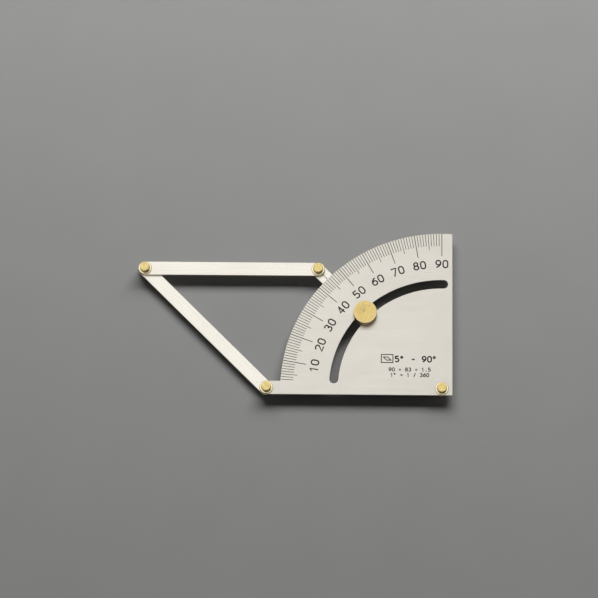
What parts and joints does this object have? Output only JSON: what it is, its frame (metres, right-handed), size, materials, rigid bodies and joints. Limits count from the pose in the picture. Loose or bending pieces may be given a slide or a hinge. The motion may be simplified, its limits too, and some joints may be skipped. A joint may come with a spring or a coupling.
{
  "type": "parallelogram corner protractor",
  "caption": "Steel protractor whose quadrant plate, arm, link and bar form a parallelogram on brass pivots, so a narrow corner can be read on a degree scale and locked with a knurled knob.",
  "frame": {"origin": "on the main pivot's axis, in the plane of the flat rivet tails that the tool rests on", "axes": "+Z out of the graduated face; +X along the base edge, from the base pivot towards the square edge; +Y from the base edge up the square edge"},
  "size_m": [0.1631, 0.0864, 0.0107],
  "materials": {
    "plate_steel": "satin, fine rolled grain",
    "bar_steel": "satin, brushed along the bar",
    "stud_steel": "turned, bright",
    "washer_steel": "turned, bright",
    "pivot_brass": "turned, bright",
    "washer_brass": "turned, satin",
    "knob_brass": "turned, straight knurl on the rim",
    "scale_ink": "matt black filled engraving"
  },
  "bodies": {
    "quadrant": {"quadrant_plate": "plate_steel", "scale_ticks": "scale_ink", "scale_numerals": "scale_ink", "range_mark": "scale_ink", "main_pivot_pin": "pivot_brass", "main_pivot_washer": "washer_brass", "main_pivot_shim": "washer_brass", "base_pivot_pin": "pivot_brass", "base_pivot_washer": "washer_brass", "base_pivot_shim": "washer_brass"},
    "swing_arm": {"swing_arm": "bar_steel", "index_line": "scale_ink", "clamp_stud": "stud_steel"},
    "side_link": {"side_link": "bar_steel"},
    "top_bar": {"top_bar": "bar_steel", "arm_pivot_pin": "pivot_brass", "arm_pivot_washer": "washer_brass", "arm_pivot_shim": "washer_brass", "tip_pivot_pin": "pivot_brass", "tip_pivot_washer": "washer_brass", "tip_pivot_shim": "washer_brass"},
    "clamp_washer": {"clamp_washer": "washer_steel"},
    "clamp_knob": {"clamp_knob": "knob_brass"}
  },
  "joints": [
    {"name": "arm_swing", "type": "hinge", "parent": "quadrant", "child": "swing_arm", "pos_m": [0, 0, 0.0023], "axis": [0, 0, -1], "range_deg": [-39.6, 45.4]},
    {"name": "side_link_swing", "type": "hinge", "parent": "quadrant", "child": "side_link", "pos_m": [-0.09, 0, 0.0023], "axis": [0, 0, -1], "range_deg": [-39.6, 45.4]},
    {"name": "top_bar_swing", "type": "hinge", "parent": "swing_arm", "child": "top_bar", "pos_m": [-0.06408, 0.06319, 0.0023], "axis": [0, 0, 1], "range_deg": [-39.6, 45.4]},
    {"name": "washer_lift", "type": "slide", "parent": "swing_arm", "child": "clamp_washer", "axis": [0, 0, 1], "range_m": [0, 0.0014]},
    {"name": "knob_turn", "type": "hinge", "parent": "clamp_washer", "child": "clamp_knob", "pos_m": [-0.03959, 0.03904, 0.0054], "axis": [0, 0, 1], "range_deg": [0, 720]}
  ],
  "couplings": [
    {"joint": "side_link_swing", "follows": "arm_swing", "ratio": 1},
    {"joint": "top_bar_swing", "follows": "arm_swing", "ratio": 1},
    {"joint": "washer_lift", "follows": "knob_turn", "m_per_rad": 0.00011141}
  ]
}
